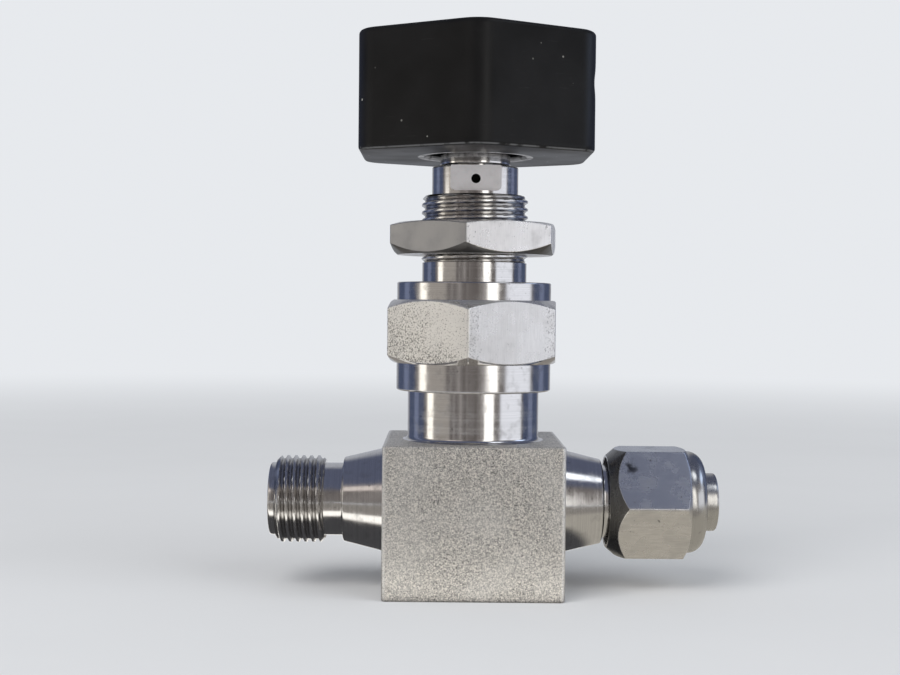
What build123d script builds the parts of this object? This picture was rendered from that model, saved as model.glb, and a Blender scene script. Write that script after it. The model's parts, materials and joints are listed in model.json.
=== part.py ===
from build123d import *
import math
import os

os.makedirs("parts", exist_ok=True)

# Panel-mounted shut-off valve, sealed by a metal bellows, in millimetres.
# +Z runs up the stem, +X towards the plugged port, and -Y is the front.
# The origin is the centre of the block's underside. The valve is drawn closed.

# Clearances that the fits below share
running_clearance = 0.05
fit_clearance = 0.03
seat_gap = 0.02

# Square block with its two ports
block_width = 28.8
block_depth = 28.8
block_height = 24.4
block_edge_radius = 0.6
block_rim_break = 0.3
port_height = 14.2
cone_root_radius = 8.55
cone_tip_radius = 6.9
cone_reach = 6.8
port_groove_radius = 5.95
port_groove_length = 3.0
port_thread_radius = 7.14
port_thread_length = 8.0
port_thread_bevel = 0.7
port_nose_radius = 5.95
port_nose_length = 1.1
port_nose_break = 0.35
port_mouth_radius = 5.45
port_mouth_depth = 2.2
tube_radius = 4.7625
tube_socket_clearance = 0.0575
tube_socket_depth = 8.5
port_bore_radius = 3.3
port_bore_stop = 9.0

# Flow passages and seat inside the block
orifice_radius = 2.1
outlet_drill_radius = 1.6
outlet_drill_offset = 5.6
chamber_radius = 7.6
chamber_floor_wall = 2.1
seat_lip_height = 0.8
seat_lip_width = 0.5
seat_lip_foot = 1.1

# Neck of the block, under the union nut
neck_radius = 10.8
neck_height = 9.2
neck_foot_radius = 0.8
union_thread_radius = 11.3
union_thread_length = 9.0
union_thread_bevel = 0.4

# Gasket and flange that the union nut clamps
gasket_thickness = 0.6
gasket_inner_radius = 8.2
gasket_outer_radius = 10.6
flange_thickness = 1.8
flange_radius = 10.9
flange_collar_length = 2.0

# Union nut
union_collar_radius = 12.7
union_lower_collar = 4.5
union_across_flats = 27.0
union_hex_height = 10.3
union_upper_collar = 2.9
union_hex_turn = -4.4
union_shoulder = 2.0
neck_shown = 8.1
union_collar_break = 0.25

# Bonnet with panel thread, test boss and leak-test hole
bonnet_neck_radius = 8.6
bonnet_neck_length = 3.2
panel_thread_radius = 8.75
panel_thread_length = 11.0
panel_thread_bevel = 0.6
boss_radius = 7.1
boss_height = 4.7
boss_flat_distance = 5.78
boss_flat_width = 8.7
boss_flat_foot = 0.5
boss_flat_corner = 1.3
leak_hole_radius = 0.76
leak_hole_height = 2.5
boss_break = 0.2

# Panel nut
panel_nut_across_flats = 26.0
panel_nut_thickness = 5.2
panel_nut_height = 1.3
panel_nut_turn = -6.7

# Parts inside the bonnet
bonnet_bore_radius = 5.6
stem_nut_length = 9.0
stem_nut_depth = 7.1
guide_bush_length = 5.0
bush_pin_radius = 0.75
bush_pin_height = 1.6
bush_pin_grip = 1.6
wiper_radius = 4.95
wiper_thickness = 1.0

# Plunger, the lower stem that slides and does not turn
plunger_radius = 2.5
plunger_flats = 4.0
plunger_flats_margin = 1.0
plunger_web = 0.38
plunger_depth = 4.0
plunger_groove_radius = 1.8
plunger_groove_width = 1.3
plunger_groove_top = 1.8
thrust_ball_radius = 1.5
thrust_ball_seat = 0.6
stem_lift = 1.875

# Stem tip with the soft disc that closes the seat
tip_radius = 5.1
tip_height = 3.4
tip_spigot_length = 1.8
seat_disc_radius = 3.6
seat_disc_thickness = 1.8
seat_disc_proud = 0.5

# Edge-welded bellows
bellows_wall = 0.2
bellows_weld = 0.35
bellows_root_radius = 4.7
bellows_crest_radius = 6.8
bellows_turns = 8
bellows_cuff = 1.5

# Actuator, the upper stem that turns and rises
actuator_thread_radius = 4.0
actuator_sleeve_radius = 5.77
actuator_grip = 4.5
sleeve_gap = 0.25
coupling_pin_radius = 0.55
coupling_pin_inset = 0.25

# Knob and its set screw
knob_across_flats = 37.7
knob_corner_radius = 5.0
knob_gap = 1.7
knob_height = 19.2
knob_edge_radius = 0.7
knob_recess_radius = 8.2
knob_recess_depth = 5.4
knob_recess_chamfer = 0.35
knob_socket_depth = 9.0
set_screw_radius = 2.0
set_screw_length = 6.0
set_screw_height = 9.6
set_screw_turn = 60.0
set_screw_key = 2.0
set_screw_key_depth = 2.2
set_screw_point = 0.8

# Tube nut, ferrules and plug on the right-hand port
tube_nut_across_flats = 17.46
tube_nut_gap = 0.9
tube_nut_hex_length = 13.1
tube_nut_collar_length = 2.9
tube_nut_back_radius = 7.6
tube_nut_back_taper = 2.8
tube_nut_collar_radius = 8.4
tube_nut_nose_radius = 2.6
front_ferrule_radius = 5.9
front_ferrule_nose = 1.3
front_ferrule_skirt = 1.2
back_ferrule_radius = 5.7
back_ferrule_length = 1.5
back_ferrule_nose = 0.5
plug_shown = 2.1
plug_chamfer = 0.4

# Chamfer of every hexagon
hex_chamfer_angle = 30.0
hex_face_share = 0.98

# How far a cut runs past the face that it leaves
overshoot = 1.0

# Heights that follow from the sizes above
chamber_floor = port_height + port_bore_radius + chamber_floor_wall
seat_top = chamber_floor + seat_lip_height
disc_bottom = seat_top + seat_gap
disc_top = disc_bottom + seat_disc_thickness
tip_bottom = disc_bottom + seat_disc_proud
tip_top = tip_bottom + tip_height
neck_top = block_height + neck_height
body_top = neck_top + union_thread_length
flange_bottom = body_top + gasket_thickness
flange_top = flange_bottom + flange_thickness
union_nut_bottom = block_height + neck_shown
union_hex_bottom = union_nut_bottom + union_lower_collar
union_hex_top = union_hex_bottom + union_hex_height
union_nut_top = union_hex_top + union_upper_collar
bonnet_flange_top = union_nut_top - union_shoulder
bonnet_neck_top = union_nut_top + bonnet_neck_length
panel_thread_top = bonnet_neck_top + panel_thread_length
panel_nut_bottom = bonnet_neck_top + panel_nut_height
boss_top = panel_thread_top + boss_height
stem_nut_top = boss_top - stem_nut_depth
plunger_foot = disc_top + plunger_web
plunger_top = stem_nut_top - plunger_depth
actuator_foot = plunger_top - actuator_grip
sleeve_bottom = boss_top + sleeve_gap
knob_bottom = boss_top + knob_gap
knob_recess_top = knob_bottom + knob_recess_depth
actuator_top = knob_recess_top + knob_socket_depth

# Distances from the stem's axis that follow, along the ports
cone_end = block_width / 2 + cone_reach
port_thread_start = cone_end + port_groove_length
port_thread_end = port_thread_start + port_thread_length
port_end_reach = port_thread_end + port_nose_length
tube_socket_radius = tube_radius + tube_socket_clearance
tube_socket_floor = port_end_reach - tube_socket_depth
ferrule_shoulder = port_end_reach + front_ferrule_skirt + back_ferrule_length + seat_gap
tube_nut_back = cone_end + tube_nut_gap
tube_nut_hex_front = tube_nut_back + tube_nut_hex_length
tube_nut_front = tube_nut_hex_front + tube_nut_collar_length


def turned(points):
    """Solid of revolution about Z, from a closed outline of (radius, height) points."""
    outline = Polyline(*[(radius, 0, height) for radius, height in points], close=True)
    return revolve(make_face(outline), Axis.Z)


def rod(radius, low, high):
    """Cylinder about Z between two heights."""
    return Pos(0, 0, (low + high) / 2) * Cylinder(radius, high - low)


def ring(inner, outer, low, high):
    """Plain ring about Z between two heights."""
    return rod(outer, low, high) - rod(inner, low, high)


def towards_port(solid, side):
    """Lay a solid built about Z along the port axis, towards +X or -X."""
    return Pos(0, 0, port_height) * Rot(0, 90 * side, 0) * solid


def chamfered_hex(across_flats, low, high, turn, low_chamfer=True):
    """Hexagon about Z, a corner towards -Y before its turn, cut at its ends by chamfer cones."""
    flat = across_flats / 2
    corner = flat / math.cos(math.radians(30))
    face = flat * hex_face_share
    reach = corner + fit_clearance
    drop = (reach - face) * math.tan(math.radians(hex_chamfer_angle))
    sketch = RegularPolygon(flat, 6, major_radius=False, rotation=turn - 90)
    prism = Pos(0, 0, low) * extrude(sketch, high - low)
    points = [(0, low), (face, low), (reach, low + drop)] if low_chamfer else [(0, low), (reach, low)]
    points += [(reach, high - drop), (face, high), (0, high)]
    return prism & turned(points)


def port_outside():
    """Outside of one port about Z: polished cone, groove, thread land and nose."""
    root = block_width / 2 - block_edge_radius
    return turned([
        (0, root),
        (cone_root_radius, root),
        (cone_root_radius, block_width / 2),
        (cone_tip_radius, cone_end),
        (port_groove_radius, cone_end),
        (port_groove_radius, port_thread_start),
        (port_thread_radius - port_thread_bevel / 2, port_thread_start),
        (port_thread_radius, port_thread_start + port_thread_bevel / 2),
        (port_thread_radius, port_thread_end - port_thread_bevel),
        (port_nose_radius, port_thread_end),
        (port_nose_radius, port_end_reach - port_nose_break),
        (port_nose_radius - port_nose_break, port_end_reach),
        (0, port_end_reach),
    ])


def port_inside():
    """Hollow of one port about Z: ferrule mouth, tube socket and bore."""
    return turned([
        (0, port_bore_stop),
        (port_bore_radius, port_bore_stop),
        (port_bore_radius, tube_socket_floor),
        (tube_socket_radius, tube_socket_floor),
        (tube_socket_radius, port_end_reach - port_mouth_depth),
        (port_mouth_radius, port_end_reach),
        (port_mouth_radius, port_end_reach + overshoot),
        (0, port_end_reach + overshoot),
    ])


def make_block():
    """Square block with all its edges broken."""
    block = Pos(0, 0, block_height / 2) * Box(block_width, block_depth, block_height)
    block = fillet(block.edges().filter_by(Axis.Z), block_edge_radius)
    return chamfer(block.faces().filter_by(Axis.Z).edges(), block_rim_break)


def make_neck():
    """Turned neck with the union thread above it."""
    return turned([
        (0, block_height - block_edge_radius),
        (neck_radius, block_height - block_edge_radius),
        (neck_radius, neck_top),
        (union_thread_radius - union_thread_bevel, neck_top),
        (union_thread_radius, neck_top + union_thread_bevel),
        (union_thread_radius, body_top - union_thread_bevel),
        (union_thread_radius - union_thread_bevel, body_top),
        (0, body_top),
    ])


def make_body():
    """One-piece body: block, neck, two ports, chamber, seat and passages."""
    body = make_block() + make_neck()
    foot = body.edges().filter_by(GeomType.CIRCLE)
    foot = foot.filter_by(lambda edge: abs(edge.center().Z - block_height) < seat_gap)
    body = fillet(foot, neck_foot_radius)
    for side in (1, -1):
        body += towards_port(port_outside(), side)
    body -= turned([
        (0, chamber_floor),
        (chamber_radius, chamber_floor),
        (chamber_radius, body_top + overshoot),
        (0, body_top + overshoot),
    ])
    lip_crown = orifice_radius + seat_lip_width
    body += turned([
        (0, chamber_floor - seat_lip_height),
        (lip_crown + seat_lip_foot, chamber_floor - seat_lip_height),
        (lip_crown + seat_lip_foot, chamber_floor),
        (lip_crown, seat_top),
        (0, seat_top),
    ])
    body -= rod(orifice_radius, port_height, seat_top + overshoot)
    body -= towards_port(rod(orifice_radius, 0, port_bore_stop + overshoot), -1)
    outlet = rod(outlet_drill_radius, port_height, chamber_floor + overshoot)
    body -= Pos(outlet_drill_offset, 0, 0) * outlet
    body -= towards_port(rod(outlet_drill_radius, outlet_drill_offset, port_bore_stop + overshoot), 1)
    for side in (1, -1):
        body -= towards_port(port_inside(), side)
    return body


def make_union_nut():
    """Union nut: two turned collars with a chamfered hexagon between them."""
    nut = chamfered_hex(union_across_flats, union_hex_bottom, union_hex_top, union_hex_turn)
    nut += turned([
        (0, union_nut_bottom),
        (union_collar_radius - union_collar_break, union_nut_bottom),
        (union_collar_radius, union_nut_bottom + union_collar_break),
        (union_collar_radius, union_nut_top - union_collar_break),
        (union_collar_radius - union_collar_break, union_nut_top),
        (0, union_nut_top),
    ])
    bore = union_thread_radius + running_clearance
    throat = panel_thread_radius + 2 * running_clearance
    nut -= rod(bore, union_nut_bottom - overshoot, bonnet_flange_top)
    nut -= rod(throat, bonnet_flange_top - overshoot, union_nut_top + overshoot)
    return nut


def boss_flat_cutter():
    """Block with rounded lower corners that mills the test flat on the boss."""
    low = panel_thread_top + boss_flat_foot
    high = boss_top + boss_flat_corner + overshoot
    window = RectangleRounded(boss_flat_width, high - low, boss_flat_corner)
    sketch = Plane.XZ * Pos(0, (low + high) / 2) * window
    return Pos(0, -boss_flat_distance, 0) * extrude(sketch, boss_radius)


def make_bonnet():
    """Bonnet: clamped flange, polished neck, panel thread, boss with flat and leak-test hole."""
    bonnet = turned([
        (0, flange_top),
        (union_thread_radius - fit_clearance, flange_top),
        (union_thread_radius - fit_clearance, bonnet_flange_top),
        (bonnet_neck_radius, bonnet_flange_top),
        (bonnet_neck_radius, bonnet_neck_top),
        (panel_thread_radius, bonnet_neck_top + panel_thread_bevel / 2),
        (panel_thread_radius, panel_thread_top - panel_thread_bevel),
        (panel_thread_radius - panel_thread_bevel, panel_thread_top),
        (boss_radius, panel_thread_top),
        (boss_radius, boss_top - boss_break),
        (boss_radius - boss_break, boss_top),
        (0, boss_top),
    ])
    bonnet -= boss_flat_cutter()
    bonnet -= rod(bonnet_bore_radius, flange_top - overshoot, stem_nut_top)
    through = actuator_thread_radius + 2 * running_clearance
    bonnet -= rod(through, stem_nut_top - overshoot, boss_top + overshoot)
    bonnet -= rod(wiper_radius + fit_clearance, boss_top - wiper_thickness, boss_top + overshoot)
    hole = Plane.XZ * Circle(leak_hole_radius)
    bonnet -= Pos(0, 0, panel_thread_top + leak_hole_height) * extrude(hole, boss_radius + overshoot)
    bonnet -= bush_pin(running_clearance / 2, union_thread_radius)
    return bonnet


def bush_pin(clearance, reach):
    """Pin along +Y that keeps the guide bush from turning, with a clearance round it."""
    start = bonnet_bore_radius - bush_pin_grip - clearance
    sketch = Plane.XZ * Pos(0, flange_top + bush_pin_height) * Circle(bush_pin_radius + clearance)
    return Pos(0, start, 0) * extrude(sketch, start - reach)


def make_panel_nut():
    """Thin hexagon nut on the panel thread, chamfered on both sides."""
    top = panel_nut_bottom + panel_nut_thickness
    nut = chamfered_hex(panel_nut_across_flats, panel_nut_bottom, top, panel_nut_turn)
    bore = panel_thread_radius + running_clearance
    bevel = panel_thread_bevel / 2
    return nut - turned([
        (0, panel_nut_bottom - bevel),
        (bore + 2 * bevel, panel_nut_bottom - bevel),
        (bore, panel_nut_bottom + bevel),
        (bore, top - bevel),
        (bore + 2 * bevel, top + bevel),
        (0, top + bevel),
    ])


def make_flange():
    """Flange that carries the bellows, with a collar that its upper cuff is welded on."""
    collar = bellows_root_radius - fit_clearance
    collar_bottom = flange_bottom - flange_collar_length
    through = plunger_radius + 4 * running_clearance
    flange = rod(flange_radius, flange_bottom, flange_top)
    flange += rod(collar, collar_bottom, flange_bottom)
    return flange - rod(through, collar_bottom - overshoot, flange_top + overshoot)


def bellows_outer_face(start, pitch):
    """Outline points of the wall's outer face, from the first plate to the last."""
    points = []
    for turn in range(bellows_turns):
        middle = start + (turn + 0.5) * pitch
        if turn > 0:
            points.append((bellows_root_radius + bellows_weld, middle - pitch / 2))
        points.append((bellows_crest_radius, middle - bellows_wall))
        points.append((bellows_crest_radius, middle + bellows_wall))
    return points


def bellows_inner_face(start, pitch):
    """Outline points of the wall's inner face, from the first plate to the last."""
    points = []
    for turn in range(bellows_turns):
        middle = start + (turn + 0.5) * pitch
        if turn > 0:
            points.append((bellows_root_radius, middle - pitch / 2 - bellows_wall))
            points.append((bellows_root_radius, middle - pitch / 2 + bellows_wall))
        points.append((bellows_crest_radius - bellows_weld, middle))
    return points


def make_bellows():
    """Edge-welded bellows between the stem tip's spigot and the flange's collar.

    Cone-shaped plates are welded in pairs at the crests and pair to pair at the roots.
    A weld is as deep as bellows_weld and as high as its two plates, so the outer face has
    a flat at each crest and the inner face has one at each root.
    """
    low = tip_top + seat_gap
    high = flange_bottom - seat_gap
    start = low + bellows_cuff
    finish = high - bellows_cuff
    pitch = (finish - start) / bellows_turns
    outer = bellows_root_radius + bellows_wall
    up = [(outer, low), (outer, start)] + bellows_outer_face(start, pitch)
    up += [(outer, finish), (outer, high)]
    down = [(bellows_root_radius, low), (bellows_root_radius, start - bellows_wall)]
    down += bellows_inner_face(start, pitch)
    down += [(bellows_root_radius, finish + bellows_wall), (bellows_root_radius, high)]
    return turned(up + down[::-1])


def make_stem_tip():
    """Tip of the plunger: pocket for the soft disc, and a spigot for the lower cuff."""
    spigot = bellows_root_radius - fit_clearance
    spigot_top = tip_top + tip_spigot_length
    tip = rod(tip_radius, tip_bottom, tip_top) + rod(spigot, tip_top, spigot_top)
    tip -= rod(seat_disc_radius + fit_clearance, tip_bottom - overshoot, disc_top + seat_gap)
    return tip - rod(plunger_radius + fit_clearance, plunger_foot - seat_gap, spigot_top + overshoot)


def make_seat_disc():
    """Soft disc with a broken lower edge, held in the stem tip."""
    bevel = seat_disc_proud / 2
    return turned([
        (0, disc_bottom),
        (seat_disc_radius - bevel, disc_bottom),
        (seat_disc_radius, disc_bottom + bevel),
        (seat_disc_radius, disc_top),
        (0, disc_top),
    ])


def make_plunger():
    """Lower stem with two guide flats, a groove for the coupling pins and a cup for the ball."""
    groove_top = plunger_top - plunger_groove_top
    groove_bottom = groove_top - plunger_groove_width
    plunger = rod(plunger_radius, plunger_foot, plunger_top)
    plunger -= ring(plunger_groove_radius, plunger_radius + overshoot, groove_bottom, groove_top)
    low = flange_top - stem_lift - plunger_flats_margin
    high = flange_top + guide_bush_length + plunger_flats_margin
    flats = Pos(0, 0, (low + high) / 2)
    across = 2 * (plunger_radius + overshoot)
    slab = flats * Box(across, across, high - low)
    plunger -= slab - flats * Box(across, plunger_flats, high - low)
    return plunger - ball(running_clearance)


def ball(clearance):
    """Thrust ball on the plunger's top, with a clearance round it."""
    centre = plunger_top - thrust_ball_seat + thrust_ball_radius
    return Pos(0, 0, centre) * Sphere(thrust_ball_radius + clearance)


def make_guide_bush():
    """Bush whose hole has two flats, so that the plunger slides and cannot turn."""
    low = flange_top + seat_gap
    high = low + guide_bush_length
    hole = rod(plunger_radius + running_clearance, low - overshoot, high + overshoot)
    hole &= Box(4 * plunger_radius, plunger_flats + 2 * running_clearance, 4 * high)
    bush = rod(bonnet_bore_radius - fit_clearance, low, high) - hole
    return bush - bush_pin(running_clearance / 2, union_thread_radius)


def make_stem_nut():
    """Threaded bush in the bonnet that the actuator screws through."""
    low = stem_nut_top - stem_nut_length
    inner = actuator_thread_radius + running_clearance
    return ring(inner, bonnet_bore_radius - fit_clearance, low, stem_nut_top - seat_gap)


def make_wiper():
    """Wiper ring in the mouth of the boss."""
    low = boss_top - wiper_thickness + seat_gap
    return ring(actuator_thread_radius + running_clearance, wiper_radius, low, boss_top - seat_gap)


def coupling_pins(clearance):
    """Two pins along Y that ride in the plunger's groove, one on each side."""
    offset = plunger_groove_radius + coupling_pin_radius + running_clearance
    height = plunger_top - plunger_groove_top - plunger_groove_width / 2
    chord = math.sqrt(actuator_thread_radius ** 2 - (offset + coupling_pin_radius) ** 2)
    length = 2 * (chord - coupling_pin_inset) + 2 * clearance
    pin = Rot(90, 0, 0) * Cylinder(coupling_pin_radius + clearance, length)
    return [Pos(side * offset, 0, height) * pin for side in (-1, 1)]


def make_actuator():
    """Upper stem: threaded shank, sleeve that goes up into the knob, and pocket for the plunger."""
    ball_top = plunger_top - thrust_ball_seat + 2 * thrust_ball_radius
    pocket = ball_top + running_clearance
    actuator = rod(actuator_thread_radius, actuator_foot, sleeve_bottom)
    actuator += rod(actuator_sleeve_radius, sleeve_bottom, actuator_top)
    actuator -= rod(plunger_radius + running_clearance, actuator_foot - overshoot, pocket)
    for pin in coupling_pins(running_clearance / 2):
        actuator -= pin
    return actuator - set_screw_hole(set_screw_radius, actuator_sleeve_radius - set_screw_point)


def set_screw_hole(radius, start):
    """Radial hole from a distance off the stem's axis out through the knob's flat."""
    length = knob_across_flats - start
    hole = Pos(start + length / 2, 0, 0) * Rot(0, 90, 0) * Cylinder(radius, length)
    return Pos(0, 0, knob_bottom + set_screw_height) * Rot(0, 0, set_screw_turn) * hole


def make_set_screw():
    """Set screw with a hexagon socket, its point in the actuator's dimple."""
    tip = actuator_sleeve_radius - set_screw_point + seat_gap
    point = set_screw_radius - set_screw_point
    screw = turned([
        (0, tip),
        (point, tip),
        (set_screw_radius - fit_clearance, tip + set_screw_point),
        (set_screw_radius - fit_clearance, tip + set_screw_length),
        (0, tip + set_screw_length),
    ])
    key = RegularPolygon(set_screw_key / 2, 6, major_radius=False)
    socket_floor = tip + set_screw_length - set_screw_key_depth
    screw -= Pos(0, 0, socket_floor) * extrude(key, set_screw_key_depth + overshoot)
    return Pos(0, 0, knob_bottom + set_screw_height) * Rot(0, 0, set_screw_turn) * Rot(0, 90, 0) * screw


def make_knob():
    """Hexagonal knob with rounded corners, a recess below and a socket for the actuator."""
    outline = RegularPolygon(knob_across_flats / 2, 6, major_radius=False, rotation=-90)
    outline = fillet(outline.vertices(), knob_corner_radius)
    knob = Pos(0, 0, knob_bottom) * extrude(outline, knob_height)
    knob = fillet(knob.faces().filter_by(Axis.Z).edges(), knob_edge_radius)
    knob -= turned([
        (0, knob_bottom - overshoot),
        (knob_recess_radius + knob_recess_chamfer, knob_bottom - overshoot),
        (knob_recess_radius + knob_recess_chamfer, knob_bottom),
        (knob_recess_radius, knob_bottom + knob_recess_chamfer),
        (knob_recess_radius, knob_recess_top),
        (0, knob_recess_top),
    ])
    socket = actuator_sleeve_radius + fit_clearance
    knob -= rod(socket, knob_recess_top - overshoot, actuator_top + seat_gap)
    return knob - set_screw_hole(set_screw_radius, 0)


def make_tube_nut():
    """Tube nut: hexagon with a tapered back, and a turned collar that rounds into its nose."""
    flat = tube_nut_across_flats / 2
    corner = flat / math.cos(math.radians(30))
    hexagon = chamfered_hex(tube_nut_across_flats, tube_nut_back, tube_nut_hex_front, 0, False)
    hexagon &= turned([
        (0, tube_nut_back),
        (tube_nut_back_radius, tube_nut_back),
        (corner, tube_nut_back + tube_nut_back_taper),
        (corner, tube_nut_front),
        (0, tube_nut_front),
    ])
    collar = rod(tube_nut_collar_radius, tube_nut_back + tube_nut_back_taper, tube_nut_front)
    collar = fillet(collar.edges().sort_by(Axis.Z)[-1], tube_nut_nose_radius)
    nut = hexagon + collar
    hole = tube_radius + tube_socket_clearance
    ferrule_bore = front_ferrule_radius + running_clearance
    nut -= rod(port_thread_radius + running_clearance, tube_nut_back - overshoot, port_end_reach)
    nut -= rod(ferrule_bore, port_end_reach - overshoot, ferrule_shoulder)
    return towards_port(nut - rod(hole, ferrule_shoulder - overshoot, tube_nut_front + overshoot), 1)


def make_front_ferrule():
    """Front ferrule: nose in the port's mouth, skirt against the back ferrule."""
    inner = tube_radius + tube_socket_clearance / 2
    taper = (port_mouth_radius - tube_socket_radius) / port_mouth_depth
    mouth = port_mouth_radius - running_clearance
    return towards_port(turned([
        (inner, port_end_reach - front_ferrule_nose),
        (mouth - front_ferrule_nose * taper, port_end_reach - front_ferrule_nose),
        (mouth, port_end_reach),
        (front_ferrule_radius, port_end_reach + running_clearance),
        (front_ferrule_radius, port_end_reach + front_ferrule_skirt),
        (inner + back_ferrule_nose, port_end_reach + front_ferrule_skirt),
        (inner, port_end_reach + front_ferrule_skirt - back_ferrule_nose),
    ]), 1)


def make_back_ferrule():
    """Back ferrule: small nose under the front ferrule's skirt, flange against the nut."""
    inner = tube_radius + tube_socket_clearance / 2
    low = port_end_reach + front_ferrule_skirt
    high = low + back_ferrule_length
    return towards_port(turned([
        (inner, low + seat_gap - back_ferrule_nose / 2),
        (inner + back_ferrule_nose / 2, low + seat_gap),
        (back_ferrule_radius, low + seat_gap),
        (back_ferrule_radius, high),
        (inner, high),
    ]), 1)


def make_plug():
    """Plug as thick as the tube, from the socket's floor to just past the nut."""
    low = tube_socket_floor + seat_gap
    plug = rod(tube_radius, low, tube_nut_front + plug_shown)
    return towards_port(chamfer(plug.edges().filter_by(GeomType.CIRCLE), plug_chamfer), 1)


def main():
    """Build every piece and write each to its own file."""
    pieces = {
        "body": make_body(),
        "body_gasket": ring(gasket_inner_radius, gasket_outer_radius, body_top, flange_bottom),
        "bellows_flange": make_flange(),
        "union_nut": make_union_nut(),
        "bonnet": make_bonnet(),
        "panel_nut": make_panel_nut(),
        "bellows": make_bellows(),
        "stem_tip": make_stem_tip(),
        "seat_disc": make_seat_disc(),
        "plunger": make_plunger(),
        "guide_bush": make_guide_bush(),
        "bush_pin": bush_pin(0, union_thread_radius - running_clearance),
        "stem_nut": make_stem_nut(),
        "wiper_ring": make_wiper(),
        "actuator": make_actuator(),
        "thrust_ball": ball(0),
        "coupling_pins": Compound(children=coupling_pins(0)),
        "knob": make_knob(),
        "set_screw": make_set_screw(),
        "tube_nut": make_tube_nut(),
        "front_ferrule": make_front_ferrule(),
        "back_ferrule": make_back_ferrule(),
        "port_plug": make_plug(),
    }
    for name, piece in pieces.items():
        export_step(piece, f"parts/{name}.step")


main()
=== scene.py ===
import json
import math

import bmesh
import bpy
import numpy as np
from bpy.props import FloatProperty, FloatVectorProperty, IntProperty, PointerProperty
from mathutils import Matrix


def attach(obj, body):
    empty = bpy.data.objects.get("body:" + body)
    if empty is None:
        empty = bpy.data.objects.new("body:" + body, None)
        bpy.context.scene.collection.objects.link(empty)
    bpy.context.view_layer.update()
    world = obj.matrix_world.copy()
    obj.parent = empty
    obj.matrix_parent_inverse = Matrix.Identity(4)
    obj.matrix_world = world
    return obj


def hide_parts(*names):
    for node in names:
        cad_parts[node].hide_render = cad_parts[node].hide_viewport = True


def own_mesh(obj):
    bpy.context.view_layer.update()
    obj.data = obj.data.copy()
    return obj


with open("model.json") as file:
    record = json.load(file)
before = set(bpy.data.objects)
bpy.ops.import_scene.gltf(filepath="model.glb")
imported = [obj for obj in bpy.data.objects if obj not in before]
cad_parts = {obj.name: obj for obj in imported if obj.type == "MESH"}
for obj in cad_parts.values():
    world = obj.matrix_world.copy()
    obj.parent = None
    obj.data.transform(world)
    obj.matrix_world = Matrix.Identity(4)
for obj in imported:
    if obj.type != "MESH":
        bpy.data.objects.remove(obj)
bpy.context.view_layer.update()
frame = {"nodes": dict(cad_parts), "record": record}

bl_info = {
    "name": "Shut-off valve",
    "version": (1, 0, 0),
    "blender": (4, 5, 0),
    "location": "3D View > Sidebar > Valve",
    "description": "Builds the outer pieces, finishes and stage of a bellows-sealed shut-off valve",
    "category": "Object",
}

MM = 0.001
TURN = 2 * math.pi
CHAMFER = math.tan(math.radians(30))
RECORD_COLOURS = {m["slot"]: tuple(m["base_color"][:3]) for m in frame["record"]["materials"]}


# Sizes and colours that a user would change

def length(label, words, value):
    """A length property, in metres."""
    return FloatProperty(name=label, description=words, default=value, min=0.0, subtype="DISTANCE", unit="LENGTH")


def colour(label, words, value):
    """A colour property."""
    return FloatVectorProperty(name=label, description=words, default=value, size=3, min=0.0, max=1.0, subtype="COLOR")


class ValveSizes(bpy.types.PropertyGroup):
    """Lengths of the valve's outer pieces, as the CAD frame has them."""

    block_side: length("Block side", "Width and depth of the square block", 0.0288)
    block_height: length("Block height", "Height of the block's top face", 0.0244)
    port_height: length("Port height", "Height of the axis that both ports share", 0.0142)
    union_hexagon: length("Union nut", "Union nut across its flats", 0.027)
    panel_hexagon: length("Panel nut", "Panel nut across its flats", 0.026)
    tube_hexagon: length("Tube nut", "Tube nut across its flats", 0.01746)
    knob_hexagon: length("Knob", "Knob across its flats", 0.0377)
    thread_pitch: length("Thread pitch", "Pitch of the panel thread and the port thread", 0.00127)
    thread_depth: length("Thread depth", "Depth of those threads from crest to root", 0.0005)
    round_columns: IntProperty(
        name="Columns", description="Grid columns round a turned piece", default=144, min=48, max=288
    )


class ValveColours(bpy.types.PropertyGroup):
    """Base colours of the visible finishes; the defaults are the record's."""

    block: colour("Block", "Blasted steel of the block", RECORD_COLOURS["block_steel"])
    turned: colour("Turned steel", "Bright turned steel of necks, collars and bonnet", RECORD_COLOURS["turned_steel"])
    fitting: colour("Tube fitting", "Satin steel of the tube nut and its plug", RECORD_COLOURS["fitting_steel"])
    knob: colour("Knob", "Black of the knob", RECORD_COLOURS["knob_black"])
    floor: colour("Floor", "Floor under the valve", (0.78, 0.79, 0.81))
    backdrop: colour("Backdrop", "What is seen behind the valve", (0.80, 0.82, 0.85))


# Surfaces on grids

def polygon(sides, across, corner, first, per_face=24, per_corner=5):
    """Plan points, outward normals and angles round a regular polygon with round corners, the first at angle first.
    A corner is a core polygon's corner plus the corner radius times a normal that swings from one face's to the next's;
    a face's points run between two corners, closer together near its ends."""
    step = TURN / sides
    reach = (across / 2 - corner) / math.cos(step / 2)
    middle = first + step * np.arange(sides)[:, None]
    swing = middle + np.linspace(-0.5, 0.5, per_corner)[None, :] * step
    arc = reach * direction(middle) + corner * direction(swing)
    along = (0.5 - 0.5 * np.cos(np.pi * np.arange(1, per_face + 1) / (per_face + 1)))[None, :, None]
    start, end = arc[:, -1:], np.roll(arc[:, :1], -1, axis=0)
    face = start + along * (end - start)
    face_normal = np.broadcast_to(direction(middle + step / 2), face.shape)
    plan = np.concatenate([arc, face], axis=1).reshape(-1, 2)
    normal = np.concatenate([direction(swing), face_normal], axis=1).reshape(-1, 2)
    return plan, normal, np.arctan2(plan[:, 1], plan[:, 0])


def direction(angle):
    """Unit vectors (cos, sin) at these angles."""
    return np.stack([np.cos(angle), np.sin(angle)], axis=-1)


def round_angles(count):
    """Angles evenly round one turn."""
    return TURN * np.arange(count) / count


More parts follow.
